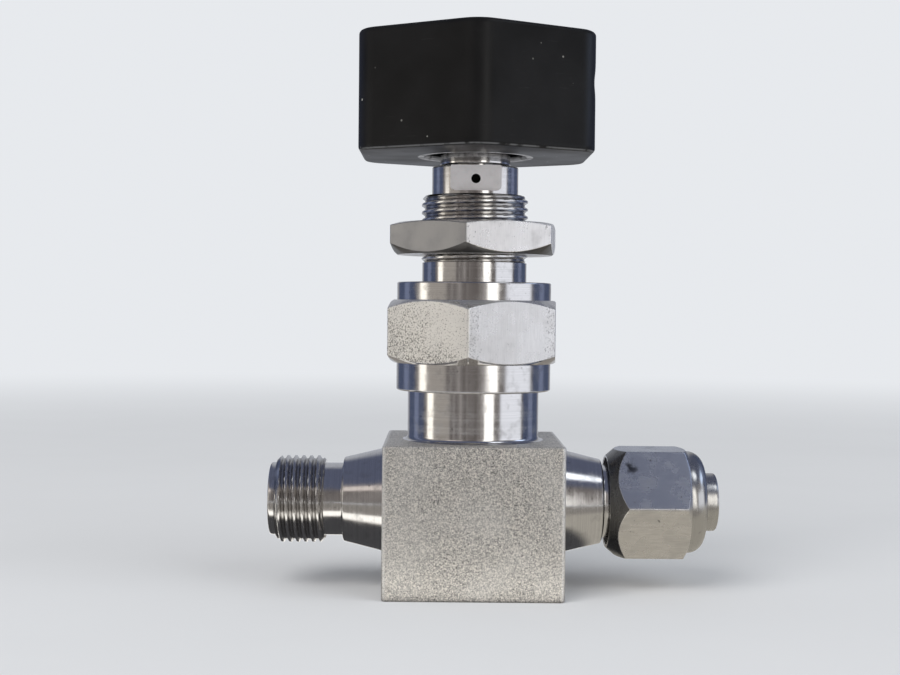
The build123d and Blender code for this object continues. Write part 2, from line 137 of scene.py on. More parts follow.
def level(plan, height):
    """One ring: plan points at one height, or at a height for each point."""
    return np.column_stack([plan, np.broadcast_to(height, len(plan))])[None]


def profile(corners, arc_points=6):
    """Radius and height along a section whose corners, given as (radius, height, rounding), become circular arcs.
    An arc is the rational quadratic curve between its two tangent points with the cosine of half the turn as weight.
    A support point beside each arc keeps the straight walls flat when they are shaded smooth."""
    given = np.array(corners, float)
    point, rounding = given[:, :2], given[:, 2:]
    back, ahead = np.roll(point, 1, axis=0) - point, np.roll(point, -1, axis=0) - point
    back_length = np.maximum(np.linalg.norm(back, axis=1, keepdims=True), 1e-9)
    ahead_length = np.maximum(np.linalg.norm(ahead, axis=1, keepdims=True), 1e-9)
    back, ahead = back / back_length, ahead / ahead_length
    turn_cosine = np.clip(-(back * ahead).sum(axis=1, keepdims=True), -1, 1)
    weight = np.sqrt((1 + turn_cosine) / 2)[:, None]
    first, last = point + back * rounding, point + ahead * rounding
    t = np.linspace(0, 1, arc_points)[None, :, None]
    early, between, late = (1 - t) ** 2, 2 * t * (1 - t) * weight, t ** 2
    arc = early * first[:, None] + between * point[:, None] + late * last[:, None]
    arc = arc / (early + between + late)
    spare_back = np.clip((back_length - rounding) / 2, 0, rounding)
    spare_ahead = np.clip((ahead_length - rounding) / 2, 0, rounding)
    line = np.concatenate([(first + back * spare_back)[:, None], arc, (last + ahead * spare_ahead)[:, None]], axis=1)
    line = line.reshape(-1, 2)
    apart = np.linalg.norm(np.diff(line, axis=0), axis=1) > 1e-5
    return line[np.concatenate([[True], apart])]


def turned(section, angles):
    """A section of (radius, height) points carried round the axis: x = r cos a, y = r sin a, z = height."""
    radius, height = np.asarray(section, float).T
    ring = radius[:, None, None] * direction(angles)[None]
    return np.concatenate([ring, np.broadcast_to(height[:, None, None], ring.shape[:2] + (1,))], axis=2)


def threaded(major, depth, pitch, start, end, bevel, angles, per_pitch=18):
    """A right-hand thread: radius = major - depth * wave(height / pitch - angle / turn), cut by a 45 degree bevel at
    each end. The wave is 0 on the crest, a quarter of a pitch wide, 1 on the root, as wide, and straight between."""
    rows = int(round((end - start) / pitch * per_pitch)) + 1
    height = np.linspace(start, end, rows)[:, None]
    phase = (height / pitch - angles[None, :] / TURN) % 1.0
    from_root = 2 * np.abs(phase - 0.5)
    wave = np.clip((3 / 4 - from_root) / (1 / 2), 0, 1)
    cone = major - bevel + np.minimum(height - start, end - height)
    radius = np.minimum(major - depth * wave, cone)
    ring = radius[..., None] * direction(angles)[None]
    return np.concatenate([ring, np.broadcast_to(height[..., None], ring.shape[:2] + (1,))], axis=2)


def hexagon_rows(plan, normal, low, high, low_face, high_face, low_slope, high_slope, edge=0.09):
    """The wall of a chamfered polygon: each column runs from the lower cone, low + (reach - low_face) * low_slope,
    to the upper one, high - (reach - high_face) * high_slope, with a narrow break at both edges."""
    reach = np.linalg.norm(plan, axis=1)
    bottom = low + (reach - low_face) * low_slope
    top = high - (reach - high_face) * high_slope
    inset = plan - normal * edge * 0.6
    rows = [level(inset, bottom), level(plan, bottom + edge), level(plan, bottom + 2.5 * edge)]
    rows += [level(plan, (bottom + top) / 2), level(plan, top - 2.5 * edge), level(plan, top - edge), level(inset, top)]
    return np.concatenate(rows)


def rim_rows(plan, normal, radius, height, sign, count=6):
    """A rounded rim of an outline: inset r (1 - sin a), height + sign * r (1 - cos a), a from 0 to a right angle."""
    a = np.linspace(0, np.pi / 2, count)[:, None]
    inset = plan[None] - normal[None] * (radius * (1 - np.sin(a)))[..., None]
    lift = height + sign * radius * (1 - np.cos(a))
    rows = np.concatenate([inset, np.broadcast_to(lift[..., None], inset.shape[:2] + (1,))], axis=2)
    return rows if sign > 0 else rows[::-1]


def stacked(parts, paints):
    """The rings of several parts one after the other, and the paint of each ring."""
    return np.concatenate(parts), np.repeat(paints, [len(part) for part in parts])


def shell(rings, ends="poles", paint=0):
    """Vertices, faces and paint of stacked rings: quads between neighbouring rings and columns.
    ends is "poles" for a middle point that closes each end, "loop" where the last ring meets the first, or "open"."""
    count, columns = rings.shape[:2]
    i = np.arange(count if ends == "loop" else count - 1)[:, None]
    j = np.arange(columns)[None, :]
    i_next, j_next = (i + 1) % count, (j + 1) % columns
    corners = [i * columns + j, i * columns + j_next, i_next * columns + j_next, i_next * columns + j]
    quads = np.stack(corners, axis=-1).reshape(-1, 4)
    paints = np.repeat(np.broadcast_to(paint, count)[: len(i)], columns)
    points, faces = rings.reshape(-1, 3), quads.tolist()
    if ends == "poles":
        around, beyond = np.arange(columns), (np.arange(columns) + 1) % columns
        low, top = count * columns, (count - 1) * columns
        faces += np.column_stack([np.full(columns, low), beyond, around]).tolist()
        faces += np.column_stack([top + around, top + beyond, np.full(columns, low + 1)]).tolist()
        points = np.concatenate([points, rings[:1].mean(axis=1), rings[-1:].mean(axis=1)])
        closing = [np.full(columns, paints[0]), np.full(columns, paints[-1])]
        paints = np.concatenate([paints, *closing])
    return points, faces, paints


def along_x(rings, height, sign):
    """Rings about the upright axis laid along the port axis, to the right for sign 1 and to the left for sign -1."""
    u, v, w = rings[..., 0], rings[..., 1], rings[..., 2]
    if sign > 0:
        return np.stack([w, u, v + height], axis=-1)
    return np.stack([-w, v, u + height], axis=-1)


def mesh_of(name, shells):
    """A mesh in metres from shells in millimetres, shaded smooth with its edges sharp above 30 degrees."""
    starts = np.cumsum([0] + [len(points) for points, _, _ in shells])
    faces = [[corner + int(start) for corner in face] for (_, some, _), start in zip(shells, starts) for face in some]
    mesh = bpy.data.meshes.new(name)
    mesh.from_pydata(np.concatenate([s[0] for s in shells]) * MM, [], faces)
    mesh.polygons.foreach_set("material_index", np.concatenate([s[2] for s in shells]).astype(np.int32))
    smooth(mesh)
    return mesh


def smooth(mesh):
    """Smooth shading, with sharp edges where two faces turn by more than 30 degrees."""
    mesh.polygons.foreach_set("use_smooth", np.ones(len(mesh.polygons), bool))
    mesh.set_sharp_from_angle(angle=math.radians(30))
    mesh.update()


def solid(name, *shells):
    """An object at the origin, made of these shells."""
    piece = bpy.data.objects.new(name, mesh_of(name, shells))
    bpy.context.scene.collection.objects.link(piece)
    return piece


def cut(piece, shells):
    """Takes these closed shells out of a piece with exact Booleans, one after the other."""
    for one in shells:
        tool = solid("cutter", one)
        change = piece.modifiers.new("cut", "BOOLEAN")
        change.operation, change.solver, change.object = "DIFFERENCE", "EXACT", tool
        graph = bpy.context.evaluated_depsgraph_get()
        result = bpy.data.meshes.new_from_object(piece.evaluated_get(graph))
        piece.modifiers.clear()
        piece.data = result
        bpy.data.objects.remove(tool)
    smooth(piece.data)


def join(piece, mesh):
    """Adds a mesh's faces to a piece, with their paint."""
    both = bmesh.new()
    both.from_mesh(piece.data)
    both.from_mesh(mesh)
    both.to_mesh(piece.data)
    both.free()
    smooth(piece.data)


def dress(piece, finishes, body, slot, *nodes):
    """Gives a piece its finishes and its CAD body, and hides the CAD nodes that it stands for. The slot is not used."""
    paint = np.zeros(len(piece.data.polygons), np.int32)
    piece.data.polygons.foreach_get("material_index", paint)
    piece.data.materials.clear()
    for finish in finishes:
        piece.data.materials.append(finish)
    piece.data.polygons.foreach_set("material_index", paint)
    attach(piece, body)
    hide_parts(*nodes)


# Finishes

class Shade:
    """A number, colour or shader on its way through a node tree; numbers add, multiply and so on as written."""

    def __init__(self, nodes, socket):
        self.nodes = nodes
        self.socket = socket

    def beside(self, out):
        """Another output of the same node."""
        return Shade(self.nodes, self.socket.node.outputs[out])

    def math(self, operation, first, second=0.0):
        """A Math node of this operation."""
        return self.nodes.node("ShaderNodeMath", {"operation": operation}, {0: first, 1: second})

    def __add__(self, other):
        return self.math("ADD", self, other)

    def __sub__(self, other):
        return self.math("SUBTRACT", self, other)

    def __rsub__(self, other):
        return self.math("SUBTRACT", other, self)

    def __mul__(self, other):
        return self.math("MULTIPLY", self, other)

    def __pow__(self, other):
        return self.math("POWER", self, other)

    def __abs__(self):
        return self.math("ABSOLUTE", self)

    __radd__ = __add__
    __rmul__ = __mul__


class Nodes:
    """The nodes of one material or world, empty at first."""

    def __init__(self, owner):
        owner.use_nodes = True
        self.tree = owner.node_tree
        self.tree.nodes.clear()

    def node(self, kind, settings=None, values=None, out=0):
        """Adds one node with its settings, then the numbers or links of its sockets. Returns one of its outputs."""
        made = self.tree.nodes.new(kind)
        for key, value in (settings or {}).items():
            setattr(made, key, value)
        for key, value in (values or {}).items():
            if isinstance(value, Shade):
                self.tree.links.new(value.socket, made.inputs[key])
            else:
                made.inputs[key].default_value = value
        return Shade(self, made.outputs[out]) if made.outputs else None


class Finish(Nodes):
    """One node material. It reads the surface's place in millimetres and feeds what varies to its shader."""

    def __init__(self, name, shader="ShaderNodeBsdfPrincipled", **fixed):
        self.material = bpy.data.materials.new(name)
        super().__init__(self.material)
        self.surface = self.node(shader, values={socket.replace("_", " "): value for socket, value in fixed.items()})
        here = self.node("ShaderNodeTexCoord", out="Object")
        self.at = self.node("ShaderNodeMapping", values={"Vector": here, "Scale": (1 / MM, 1 / MM, 1 / MM)})
        self.x = self.node("ShaderNodeSeparateXYZ", values={0: self.at})
        self.y, self.z = self.x.beside(1), self.x.beside(2)

    def feed(self, socket, value):
        """Links a value to the shader."""
        self.tree.links.new(value.socket, self.surface.socket.node.inputs[socket])

    def finished(self, surface=None):
        """Adds the output, which shows the shader or what covers it, and returns the material."""
        self.node("ShaderNodeOutputMaterial", values={"Surface": surface or self.surface})
        return self.material

    def noise(self, scale, detail=2.0, at=None, rough=0.5):
        """Soft noise around 0.5, with this many patches to a millimetre."""
        values = {"Vector": at or self.at, "Scale": scale, "Detail": detail, "Roughness": rough}
        return self.node("ShaderNodeTexNoise", values=values)

    def dots(self, scale):
        """Distance to scattered points, with about this many to a millimetre."""
        return self.node("ShaderNodeTexVoronoi", values={"Vector": self.at, "Scale": scale})

    def spot(self, x, y, z):
        """A vector from three values, for stretching a pattern."""
        return self.node("ShaderNodeCombineXYZ", values={0: x, 1: y, 2: z})

    def rise(self, value, low, high, start=0.0, end=1.0):
        """A soft step from start to end as the value goes from low to high."""
        values = {0: value, 1: low, 2: high, 3: start, 4: end}
        return self.node("ShaderNodeMapRange", {"interpolation_type": "SMOOTHSTEP"}, values)

    def tint(self, mask, under, over):
        """The colour under, turning to the colour over where the mask is 1."""
        under, over = [c if isinstance(c, Shade) else (*c, 1.0) for c in (under, over)]
        return self.node("ShaderNodeMix", {"data_type": "RGBA"}, {0: mask, 6: under, 7: over}, out=2)

    def relief(self, height, distance):
        """Bump of this height pattern, with the distance in millimetres."""
        self.feed("Normal", self.node("ShaderNodeBump", values={"Height": height, "Distance": distance * MM}))


def shade(tone, factor):
    """A colour made lighter or darker."""
    return tuple(min(1.0, c * factor) for c in tone)


def from_axis(f, height=None):
    """Distance in millimetres from the stem's axis, or from the ports' axis at this height."""
    first, second = (f.x, f.y) if height is None else (f.y, f.z - height)
    return (first * first + second * second) ** 0.5


def stripe(f, value, low, high, soft):
    """1 between low and high, with soft sides."""
    return f.rise(value, low - soft, low + soft) * (1.0 - f.rise(value, high - soft, high + soft))


def blasted_block(tone, side, height):
    """Shot-blasted steel: grain of two sizes, dark pits, and bright worn edges."""
    f = Finish("blasted_block", Metallic=0.75)
    grain, fine, pits = f.noise(4.4, 5.0, rough=0.7), f.noise(9.0, 2.0), f.noise(2.4, 5.0, rough=0.7)
    cloud = f.noise(0.12, 2.0)
    speckle = f.rise(grain * 0.7 + fine * 0.3, 0.38, 0.62)
    base = f.tint(speckle, shade(tone, 0.36), (tone[0] * 1.38, tone[1] * 1.34, tone[2] * 1.28))
    base = f.tint(f.rise(pits, 0.57, 0.65) * 0.85, base, shade(tone, 0.14))
    base = f.tint(f.rise(cloud, 0.35, 0.7) * 0.25, base, shade(tone, 1.2))
    edge = f.rise(abs(f.x) + abs(f.y), side - 0.75, side - 0.35)
    rim = f.rise(abs(f.z - height / 2) + abs(f.x), height / 2 + side / 2 - 0.7, height / 2 + side / 2 - 0.3)
    worn = edge.math("MAXIMUM", edge, rim) * f.rise(pits, 0.3, 0.6)
    base = f.tint(worn * 0.7, base, (0.9, 0.89, 0.87))
    f.feed("Base Color", base)
    f.feed("Roughness", 0.42 + speckle * 0.14 - worn * 0.15)
    f.relief(grain * 0.5 + fine * 0.3 + pits * 0.4, 0.10)
    return f.finished()


def turned_steel(name, tone, height=None, gloss=0.10, grime=None):
    """Bright turned steel: fine lines round its axis, a soft mottle and dark spots. The axis is the stem's, or the
    ports' where their height is given. grime, (radius of the crest, depth), is the darker film in a thread's roots."""
    f = Finish(name, Metallic=1.0)
    radius = from_axis(f, height)
    travel = f.z if height is None else f.x
    lines = f.noise(1.0, 3.0, f.spot(radius * 7.0, 0.0, travel * 7.0))
    mottle, spots = f.noise(0.6, 3.0), f.noise(1.6, 4.0)
    base = f.tint(f.rise(lines, 0.35, 0.65), shade(tone, 1.06), shade(tone, 1.18))
    base = f.tint(f.rise(mottle, 0.52, 0.72) * 0.35, base, shade(tone, 0.72))
    base = f.tint(f.rise(spots, 0.66, 0.74) * 0.5, base, shade(tone, 0.35))
    if grime:
        root = 1.0 - f.rise(radius, grime[0] - grime[1], grime[0] - 0.15 * grime[1])
        base = f.tint(root * 0.5, base, (0.18, 0.165, 0.15))
    f.feed("Base Color", base)
    f.feed("Roughness", gloss + f.rise(mottle, 0.42, 0.7) * 0.08 + f.rise(lines, 0.4, 0.7) * 0.04)
    f.relief(lines * 0.22 + mottle * 2.4, 0.0016)
    return f.finished()


def boss_flat(tone):
    """Plain satin of the milled flat."""
    f = Finish("boss_flat_satin", Metallic=0.2)
    grain, cloud = f.noise(4.0, 2.0), f.noise(0.5, 2.0)
    base = f.tint(f.rise(grain, 0.35, 0.65), (1.0, 0.94, 0.93), (1.0, 0.97, 0.96))
    f.feed("Base Color", f.tint(f.rise(cloud, 0.4, 0.7) * 0.3, base, shade(tone, 1.1)))
    f.feed("Roughness", 0.42 + grain * 0.1)
    f.relief(grain, 0.005)
    return f.finished()


def painted_hole_shade():
    """Painted shade: near-black, with a faint grain, inside the leak-test hole and on the shank behind it."""
    f = Finish("painted_hole_shade", Metallic=0.6)
    grain = f.noise(3.0, 2.0)
    f.feed("Base Color", f.tint(f.rise(grain, 0.3, 0.7), (0.010, 0.009, 0.009), (0.022, 0.020, 0.018)))
    f.feed("Roughness", 0.7 + grain * 0.1)
    return f.finished()


def nut_faces(name, tone, first, across, speckled, lighter):
    """Wrench faces. One pair of faces, with its direction first, is coarsely blasted and pale if speckled is 1, the
    pale tone partly the blasting's own and partly painted light, or plainer and painted darker as painted shade; the
    others are satin steel with upright scratches, lightened by a factor as painted light."""
    f = Finish(name, Metallic=0.85)
    reach = f.x * math.cos(first) + f.y * math.sin(first)
    face = f.rise(abs(reach), across / 2 - 0.35, across / 2 - 0.1)
    coarse, fade = f.noise(5.4, 2.0, rough=0.55), f.noise(0.16, 2.0)
    side = f.y * math.cos(first) - f.x * math.sin(first)
    fade = f.rise(fade * 8.0 - side * 0.35 + (43.0 - f.z) * 0.5, 1.5, 6.5, 0.2, 1.0)
    speckle = (1.0 - f.rise(coarse + (1.0 - fade) * 0.12, 0.40, 0.50)) * face
    streak = f.noise(1.0, 3.0, f.spot(f.x * 5.0, f.y * 5.0, f.z * 0.35))
    smudge, pocks = f.noise(0.28, 3.0), f.noise(2.2 + 1.6 * speckled, 4.0)
    # Painted light: the faces other than the chosen pair are lightened by a factor
    base = f.tint(f.rise(streak, 0.38, 0.66), shade(tone, 1.06 * lighter), shade(tone, 1.13 * lighter))
    base = f.tint(f.rise(smudge, 0.55, 0.72) * 0.35, base, shade(tone, 0.75))
    corner = f.rise(from_axis(f), across * 0.536, across * 0.556)
    base = f.tint(f.rise(pocks + corner * (0.06 + 0.06 * speckled), 0.65, 0.73) * 0.5, base, shade(tone, 0.32))
    if speckled:
        # Blasted pair: a pale tone, partly the blasting's own and partly painted light, then the blasting's dark
        # speckle
        base = f.tint(face * 0.85, base, (1.0, 0.98, 0.93))
        base = f.tint(speckle * 0.95, base, (0.13, 0.115, 0.10))
    else:
        # Painted shade: the plain pair is darker than the other faces
        base = f.tint(face * 0.85, base, shade(tone, 0.56))
    f.feed("Base Color", base)
    f.feed("Roughness", 0.26 + f.rise(smudge, 0.4, 0.7) * 0.10 + face * 0.14)
    f.relief(streak * (1.0 - face * speckled) * 0.12 + coarse * (face * speckled), 0.025)
    return f.finished()


def fitting_satin(tone, height):
    """Satin steel of the tube nut: faint lines along its faces, smudges, a few dark marks, and a painted reflection
    that is darker and bluer above its axis and warmer below it.
    """
    f = Finish("fitting_satin", Metallic=0.85)
    streak = f.noise(1.0, 3.0, f.spot(f.x * 0.5, f.y * 5.0, f.z * 5.0))
    smudge, marks = f.noise(0.35, 3.0), f.noise(1.3, 4.0)
    upper = f.rise(f.z, height - 0.5, height + 0.5)
    base = f.tint(f.rise(streak, 0.35, 0.65), shade(tone, 0.9), shade(tone, 1.12))
    # Painted reflection: the tone turns darker and bluer above the port's axis and warmer below it
    base = f.tint(upper * 0.6, base, (0.34, 0.38, 0.50))
    base = f.tint((1.0 - upper) * 0.4, base, (0.86, 0.80, 0.72))
    base = f.tint(f.rise(smudge, 0.45, 0.72) * 0.2, base, shade(tone, 0.62))
    base = f.tint(f.rise(marks, 0.68, 0.74) * 0.7, base, shade(tone, 0.2))
    # The black smudge on the upper front face
    across, up = f.x - 25.6, f.z - 20.4
    blot = (across * across + up * up) ** 0.5 + f.noise(1.1, 4.0) * 2.4
    blot = (1.0 - f.rise(blot, 1.5, 2.4)) * (1.0 - f.rise(f.y, -1.0, 0.0))
    base = f.tint(blot * 0.9, base, (0.03, 0.03, 0.035))
    f.feed("Base Color", base)
    f.feed("Roughness", 0.24 + f.rise(smudge, 0.4, 0.7) * 0.10)
    f.relief(streak * 0.5 + marks * 0.5, 0.004)
    return f.finished()


def knob_black(tone, bottom):
    """Black satin knob: fine grain, long faint scratches, pale specks, a worn lower edge, and a pale recess rim that is
    partly scuffing and partly a painted highlight of its chamfer.
    """
    f = Finish("knob_satin_black", Specular_IOR_Level=0.2)
    grain, haze = f.noise(5.0, 2.0), f.noise(0.10, 3.0)
    scratch = f.noise(1.0, 2.0, f.spot(f.x * 0.25, f.y * 0.25, f.z * 9.0))
    line = f.rise(scratch, 0.70, 0.74) * f.rise(haze, 0.45, 0.6)
    speck = 1.0 - f.rise(f.dots(0.33) + f.noise(0.5, 1.0) * 0.10, 0.08, 0.12)
    speck = speck * f.rise(f.noise(0.22, 1.0), 0.42, 0.60, 0.25, 1.0)
    patches = f.rise(f.noise(0.5, 4.0), 0.35, 0.55)
    radius = from_axis(f)
    edge = stripe(f, f.z, bottom + 0.12, bottom + 0.34, 0.08) * patches * f.rise(radius, 12.0, 13.0)
    # Pale rim round the recess: partly scuffing, partly a painted highlight of the chamfer, painted wider than the
    # chamfer
    ring = stripe(f, radius, 8.1, 9.5, 0.12) * (1.0 - f.rise(f.z, bottom + 0.5, bottom + 0.7)) * (0.4 + patches * 0.6)
    base = f.tint(f.rise(haze, 0.35, 0.7), shade(tone, 0.18), shade(tone, 0.28))
    base = f.tint(line * 0.30, base, (0.06, 0.06, 0.06))
    base = f.tint(speck * 0.85, base, (0.50, 0.49, 0.45))
    base = f.tint(edge * 0.6, base, (0.22, 0.22, 0.22))
    base = f.tint(ring * 0.9, base, (0.80, 0.79, 0.79))
    f.feed("Base Color", base)
    f.feed("Roughness", 0.34 + f.rise(haze, 0.35, 0.7) * 0.10 + ring * 0.1)
    f.relief(grain * 0.5 + scratch * 0.5, 0.008)
    return f.finished()


def inner_finish(name, tone, metal, rough, grain):
    """A plain inner finish: a fine grain that varies its tone and its gloss."""
    f = Finish(name, Metallic=metal)
    fine, broad = f.noise(grain, 3.0), f.noise(0.4, 2.0)
    base = f.tint(f.rise(fine, 0.35, 0.65), shade(tone, 0.86), shade(tone, 1.08))
    f.feed("Base Color", f.tint(f.rise(broad, 0.5, 0.7) * 0.3, base, shade(tone, 0.7)))
    f.feed("Roughness", rough + f.rise(broad, 0.4, 0.7) * 0.1)
    f.relief(fine, 0.006)
    return f.finished()


# Pieces

class VALVE_OT_body(bpy.types.Operator):
    """Block, neck and both port ends, in place of the CAD body"""

    bl_idname = "valve.make_body"
    bl_label = "Body"

    def execute(self, context):
        sizes, tones = context.scene.valve_sizes, context.scene.valve_colours
        side, top, axis = sizes.block_side / MM, sizes.block_height / MM, sizes.port_height / MM
        pitch, depth = sizes.thread_pitch / MM, sizes.thread_depth / MM
        angles, few = round_angles(sizes.round_columns), round_angles(64)
        chamber, bore, rim = 7.6, 3.3, 0.3
        plan, normal, _ = polygon(4, side, 0.6, math.pi / 4)
        walls = [level(plan, z) for z in (0.7, top / 2, top - 0.7)]
        block = [rim_rows(plan, normal, rim, 0.0, 1), *walls, rim_rows(plan, normal, rim, top, -1)]
        piece = solid("steel_body", shell(np.concatenate(block)))
        holes = [turned([(chamber, 19.6), (chamber, top + 2)], few)]
        holes += [along_x(turned([(bore, 9.0), (bore, side / 2 + 0.4)], few), axis, sign) for sign in (-1, 1)]
        cut(piece, [shell(hole) for hole in holes])
        foot, round_neck, nut_thread, nut_thread_low, neck_top = 11.6, 10.8, 11.3, 33.6, 42.6
        neck = [(chamber, top - 0.3, 0), (foot, top - 0.3, 0), (foot, top, 0), (round_neck, top, 0.8)]
        neck += [(round_neck, nut_thread_low, 0), (nut_thread, nut_thread_low, 0)]
        neck += [(nut_thread, neck_top, 0.2), (chamber, neck_top, 0)]
        root, cone_end, start, end, mouth = side / 2 - 0.5, 21.2, 24.2, 32.2, 33.3
        groove, crest, bevel, socket, socket_end = 5.95, 7.14, 0.7, 4.82, 24.8
        back = [(bore, root, 0), (8.67, root, 0), (6.9, cone_end, 0.25), (groove, cone_end, 0.2), (groove, start, 0)]
        nose = [(groove, end, 0), (groove, mouth, 0.35), (5.45, mouth, 0.08), (socket, 31.1, 0)]
        nose += [(socket, socket_end, 0), (bore, socket_end, 0)]
        thread = threaded(crest, depth, pitch, start, end, bevel, angles)
        land = [(crest - bevel, start, 0), (crest, start + bevel, 0.1)]
        land = turned(profile(land + [(crest, end - bevel, 0.1), (crest - bevel, end, 0)]), angles)
        shells = [shell(turned(profile(neck), angles), "loop", 1)]
        for sign, middle, paint in ((-1, thread, 3), (1, land, 2)):
            parts = [turned(profile(back), angles), middle, turned(profile(nose), angles)]
            rings, paints = stacked(parts, (2, paint, 2))
            shells.append(shell(along_x(rings, axis, sign), "loop", paints))
        join(piece, mesh_of("turned_ends", shells))
        finishes = [
            blasted_block(tones.block, side, top),
            turned_steel("neck_bright", tones.turned, gloss=0.10),
            turned_steel("cone_bright", tones.turned, height=axis, gloss=0.12),
            turned_steel("thread_bright", tones.turned, height=axis, gloss=0.16, grime=(crest, depth)),
        ]
        dress(piece, finishes, "root", "block_steel", "body")
        return {"FINISHED"}


class VALVE_OT_union_nut(bpy.types.Operator):
    """Union nut: a hexagon between two turned collars"""

    bl_idname = "valve.make_union_nut"
    bl_label = "Union nut"

    def execute(self, context):
        sizes, tones = context.scene.valve_sizes, context.scene.valve_colours
        across, first = sizes.union_hexagon / MM, math.radians(-94.4)
        plan, normal, angles = polygon(6, across, 0.35, first)
        face, low, high = 0.98 * across / 2, 37.0, 47.3
        bore, collar, bottom, top, mouth, shoulder = 11.35, 12.7, 32.5, 50.2, 8.85, 48.2
        lower = [(bore, 40.0, 0), (bore, bottom, 0.15), (collar, bottom, 0.25), (collar, low, 0), (face, low, 0)]
        upper = [(face, high, 0), (collar, high, 0), (collar, top, 0.25)]
        upper += [(mouth, top, 0.2), (mouth, shoulder, 0), (bore, shoulder, 0)]
        wall = hexagon_rows(plan, normal, low, high, face, face, CHAMFER, CHAMFER)
        rings, paints = stacked([turned(profile(lower), angles), wall, turned(profile(upper), angles)], (0, 1, 0))
        piece = solid("steel_union_nut", shell(rings, "loop", paints))
        finishes = [
            turned_steel("collar_bright", tones.turned, gloss=0.12),
            nut_faces("union_faces", tones.turned, first - math.radians(30), across, 1.0, 1.06),
        ]
        dress(piece, finishes, "root", "turned_steel", "union_nut")
        return {"FINISHED"}


class VALVE_OT_bonnet(bpy.types.Operator):
    """Bonnet: neck, panel thread, and a boss with its flat and the leak-test hole"""

    bl_idname = "valve.make_bonnet"
    bl_label = "Bonnet"

    def execute(self, context):
        sizes, tones = context.scene.valve_sizes, context.scene.valve_colours
        pitch, depth = sizes.thread_pitch / MM, sizes.thread_depth / MM
        angles = round_angles(sizes.round_columns)
        bore, boss_radius, low, high, wiper, ledge = 4.1, 7.1, 62.0, 69.1, 4.98, 68.1
        boss = [(bore, low, 0), (boss_radius, low, 0), (boss_radius, high, 0.2)]
        boss += [(wiper, high, 0.08), (wiper, ledge, 0), (bore, ledge, 0)]
        piece = solid("steel_bonnet", shell(turned(profile(boss), angles), "loop", 1))
        # The milled flat: its outline is a window with two round lower corners, open above the boss
        half, corner, flat_low, flat_depth, clear = 4.35, 1.3, 64.9, 5.78, 9.0
        arc = np.linspace(0, np.pi / 2, 8)
        right = np.column_stack([half - corner * (1 - np.sin(arc)), flat_low + corner * (1 - np.cos(arc))])
        left = (right * (-1, 1))[::-1]
        window = np.concatenate([left, right, [[half, 72.0], [-half, 72.0]]])
        slab = np.stack([np.insert(window, 1, y, axis=1) for y in (-flat_depth, -clear)])
        leak_radius, leak_height = 0.76, 66.9
        small = turned([(leak_radius, 3.4), (leak_radius, clear)], round_angles(32))
        hole = np.stack([small[..., 0], -small[..., 2], small[..., 1] + leak_height], axis=-1)
        # The leak-test hole's walls take paint 4, the near-black painted shade
        cut(piece, [shell(slab, paint=3), shell(hole, paint=4)])
        inside, flange, bottom, shoulder, neck, start, end, crest = 5.6, 11.27, 45.0, 48.2, 8.6, 53.4, 64.4, 8.75
        foot = [(inside, 50.0, 0), (inside, bottom, 0.2), (flange, bottom, 0.1)]
        foot += [(flange, shoulder, 0.1), (neck, shoulder, 0), (neck, start, 0)]
        head = [(6.9, end, 0), (4.6, end, 0), (4.6, low, 0), (inside, low, 0)]
        thread = threaded(crest, depth, pitch, start, end, 0.6, angles)
        rings, paints = stacked([turned(profile(foot), angles), thread, turned(profile(head), angles)], (0, 2, 0))
        join(piece, mesh_of("bonnet_turned", [shell(rings, "loop", paints)]))
        finishes = [
            turned_steel("bonnet_bright", tones.turned, gloss=0.10),
            turned_steel("boss_bright", tones.turned, gloss=0.12),
            turned_steel("panel_thread", tones.turned, gloss=0.14, grime=(crest, depth)),
            boss_flat(tones.turned),
            painted_hole_shade(),
        ]
        dress(piece, finishes, "root", "turned_steel", "bonnet")
        return {"FINISHED"}


class VALVE_OT_panel_nut(bpy.types.Operator):
    """Panel nut: a thin chamfered hexagon"""

    bl_idname = "valve.make_panel_nut"
    bl_label = "Panel nut"

    def execute(self, context):
        sizes, tones = context.scene.valve_sizes, context.scene.valve_colours
        across, first = sizes.panel_hexagon / MM, math.radians(-96.7)
        plan, normal, angles = polygon(6, across, 0.3, first)
        face, bore, low, high, low_slope, high_slope = 0.98 * across / 2, 8.8, 54.7, 59.9, 0.74, 0.27
        wall = hexagon_rows(plan, normal, low, high, face, face, low_slope, high_slope)
        inside = profile([(face, high, 0), (bore, high, 0.3), (bore, low, 0.3), (face, low, 0)])
        rings = np.concatenate([wall, turned(inside, angles)])
        # The last band of faces is the chamfer below, darkened as painted shade
        paints = (np.arange(len(rings)) == len(rings) - 1).astype(int)
        piece = solid("steel_panel_nut", shell(rings, "loop", paints))
        finishes = [
            nut_faces("panel_faces", tones.turned, first - math.radians(30), across, 0.0, 1.35),
            # Painted shade: the chamfer below is the turned steel at a fifth of its tone
            turned_steel("panel_nut_underside_painted_shade", shade(tones.turned, 0.2), gloss=0.3),
        ]
        dress(piece, finishes, "panel_nut", "turned_steel", "panel_nut")
        return {"FINISHED"}


